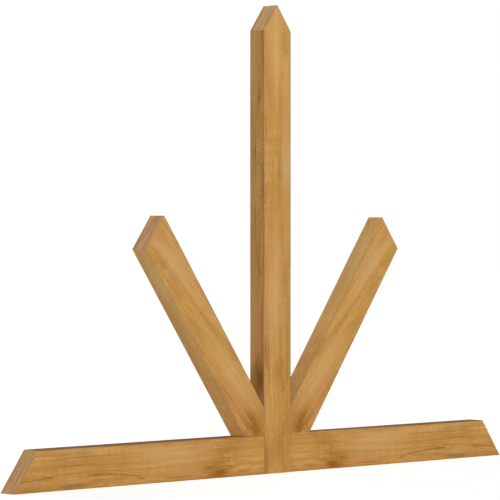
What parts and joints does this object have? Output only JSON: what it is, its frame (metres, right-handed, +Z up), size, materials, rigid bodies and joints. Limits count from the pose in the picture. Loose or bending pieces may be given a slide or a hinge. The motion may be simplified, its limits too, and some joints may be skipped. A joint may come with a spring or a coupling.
{
  "type": "timber gable bracket",
  "caption": "Timber gable bracket: a pointed king post between the halves of a level tie, with a rising brace on each side and every outer end sawn to the slope of the roof.",
  "frame": {"origin": "middle of the underside, where the king post ends, halfway between front and back", "axes": "+X along the tie to the right seen from the front, +Y from front to back, +Z up along the king post"},
  "size_m": [1.8288, 0.0508, 1.2192],
  "materials": {
    "timber": "planed, honey-brown semi-transparent stain, matt"
  },
  "bodies": {
    "root": {"king_post": "timber", "tie_left": "timber", "tie_right": "timber", "brace_left": "timber", "brace_right": "timber"}
  },
  "joints": []
}
